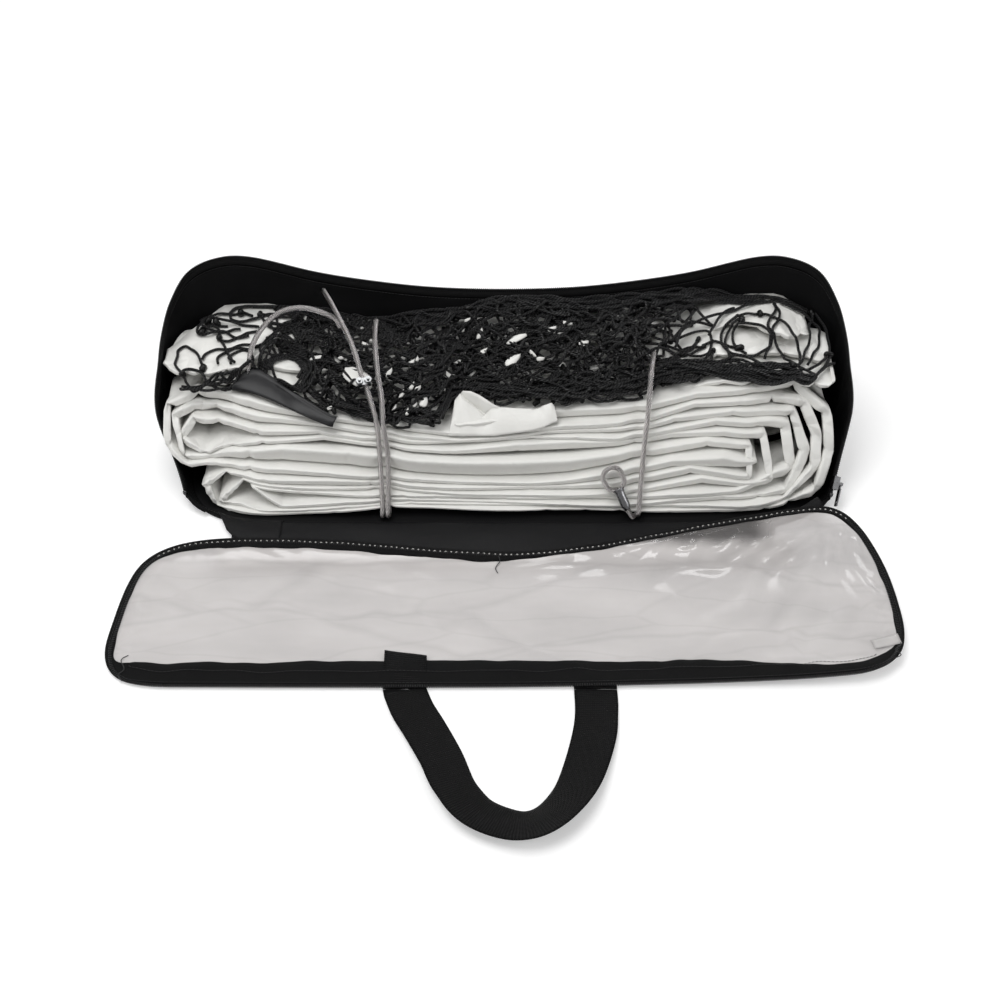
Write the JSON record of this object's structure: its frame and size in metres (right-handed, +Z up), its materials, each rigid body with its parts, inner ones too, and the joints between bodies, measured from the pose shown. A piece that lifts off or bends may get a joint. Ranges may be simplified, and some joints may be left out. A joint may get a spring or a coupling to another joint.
{
  "type": "folded volleyball net in carry bag",
  "caption": "Volleyball net folded and tied with its steel head cable, lying in an open zip carry bag with a clear lid and a webbing handle.",
  "frame": {"origin": "middle of the bag floor's underside, where the bag rests on the ground", "axes": "+X along the bag's length to the viewer's right, +Y from the lid towards the bag's back wall, +Z up"},
  "size_m": [0.7138, 0.6064, 0.1495],
  "materials": {
    "bag_fabric": "smooth black coated fabric, soft grey sheen",
    "gusset_fabric": "smooth charcoal vinyl on a fabric backing",
    "black_trim": "black woven binding and zip tape",
    "zip_teeth": "black coil zip teeth",
    "webbing": "black ribbed webbing",
    "clear_film": "clear glossy film with wrinkles",
    "white_vinyl": "white coated head tape, soft satin",
    "net_twine": "black knotted twisted twine",
    "charcoal_vinyl": "charcoal coated strip",
    "coated_cable": "steel strand cable in a clear coating",
    "crimp_metal": "bright crimped sleeve",
    "zinc": "zinc plated clip",
    "zip_metal": "nickel plated zip slider and stops"
  },
  "bodies": {
    "bag": {"bag_floor": "bag_fabric", "floor_piping": "black_trim", "bag_wall": "bag_fabric", "wall_zip_tape": "black_trim", "wall_zip_chain": "zip_teeth", "zip_stops": "zip_metal", "head_tape": "white_vinyl", "foot_tape": "white_vinyl", "net_mesh": "net_twine", "side_strip": "charcoal_vinyl", "cable_arc": "coated_cable", "cable_tie_front": "coated_cable", "cable_tie_rear": "coated_cable", "cable_right": "coated_cable", "cable_eye": "coated_cable", "eye_ferrule": "crimp_metal", "clip_saddle": "zinc", "clip_ubolt": "zinc", "clip_nuts": "zinc"},
    "front_panel_lower": {"panel_lower": "gusset_fabric"},
    "front_panel_middle": {"panel_middle": "gusset_fabric"},
    "front_panel_upper": {"panel_upper": "gusset_fabric"},
    "lid": {"lid_window": "clear_film", "lid_front_band": "black_trim", "lid_side_binding": "black_trim", "lid_hinge_binding": "black_trim", "lid_zip_tape": "black_trim", "lid_zip_chain": "zip_teeth", "handle_ends": "webbing"},
    "handle": {"handle_strap": "webbing"},
    "slider": {"zip_slider": "zip_metal"},
    "pull": {"zip_pull": "zip_metal"}
  },
  "joints": [
    {"name": "lid_hinge", "type": "hinge", "parent": "front_panel_upper", "child": "lid", "pos_m": [0, -0.1273, 0.0031], "axis": [-1, 0, 0], "range_deg": [0, 90]},
    {"name": "panel_rise", "type": "hinge", "parent": "bag", "child": "front_panel_lower", "pos_m": [0, -0.0853, 0.0005], "axis": [-1, 0, 0], "range_deg": [0, 90]},
    {"name": "panel_front_fold", "type": "hinge", "parent": "front_panel_lower", "child": "front_panel_middle", "pos_m": [0, -0.1273, 0.00115], "axis": [-1, 0, 0], "range_deg": [-180, 0]},
    {"name": "panel_back_fold", "type": "hinge", "parent": "front_panel_middle", "child": "front_panel_upper", "pos_m": [0, -0.0863, 0.00245], "axis": [-1, 0, 0], "range_deg": [0, 180]},
    {"name": "handle_fold", "type": "hinge", "parent": "lid", "child": "handle", "pos_m": [0, -0.2886, 0], "axis": [-1, 0, 0], "range_deg": [-160, 0]},
    {"name": "slider_slide", "type": "slide", "parent": "bag", "child": "slider", "axis": [0.2415, 0.7592, 0.6044], "range_m": [0, 0.052]},
    {"name": "pull_swing", "type": "hinge", "parent": "slider", "child": "pull", "pos_m": [0.32859, -0.05126, 0.0202], "axis": [0.2196, -0.6495, 0.728], "range_deg": [0, 150]}
  ],
  "couplings": [
    {"joint": "panel_front_fold", "follows": "panel_rise", "ratio": -2},
    {"joint": "panel_back_fold", "follows": "panel_rise", "ratio": 2},
    {"joint": "lid_hinge", "follows": "panel_rise", "ratio": 1}
  ]
}
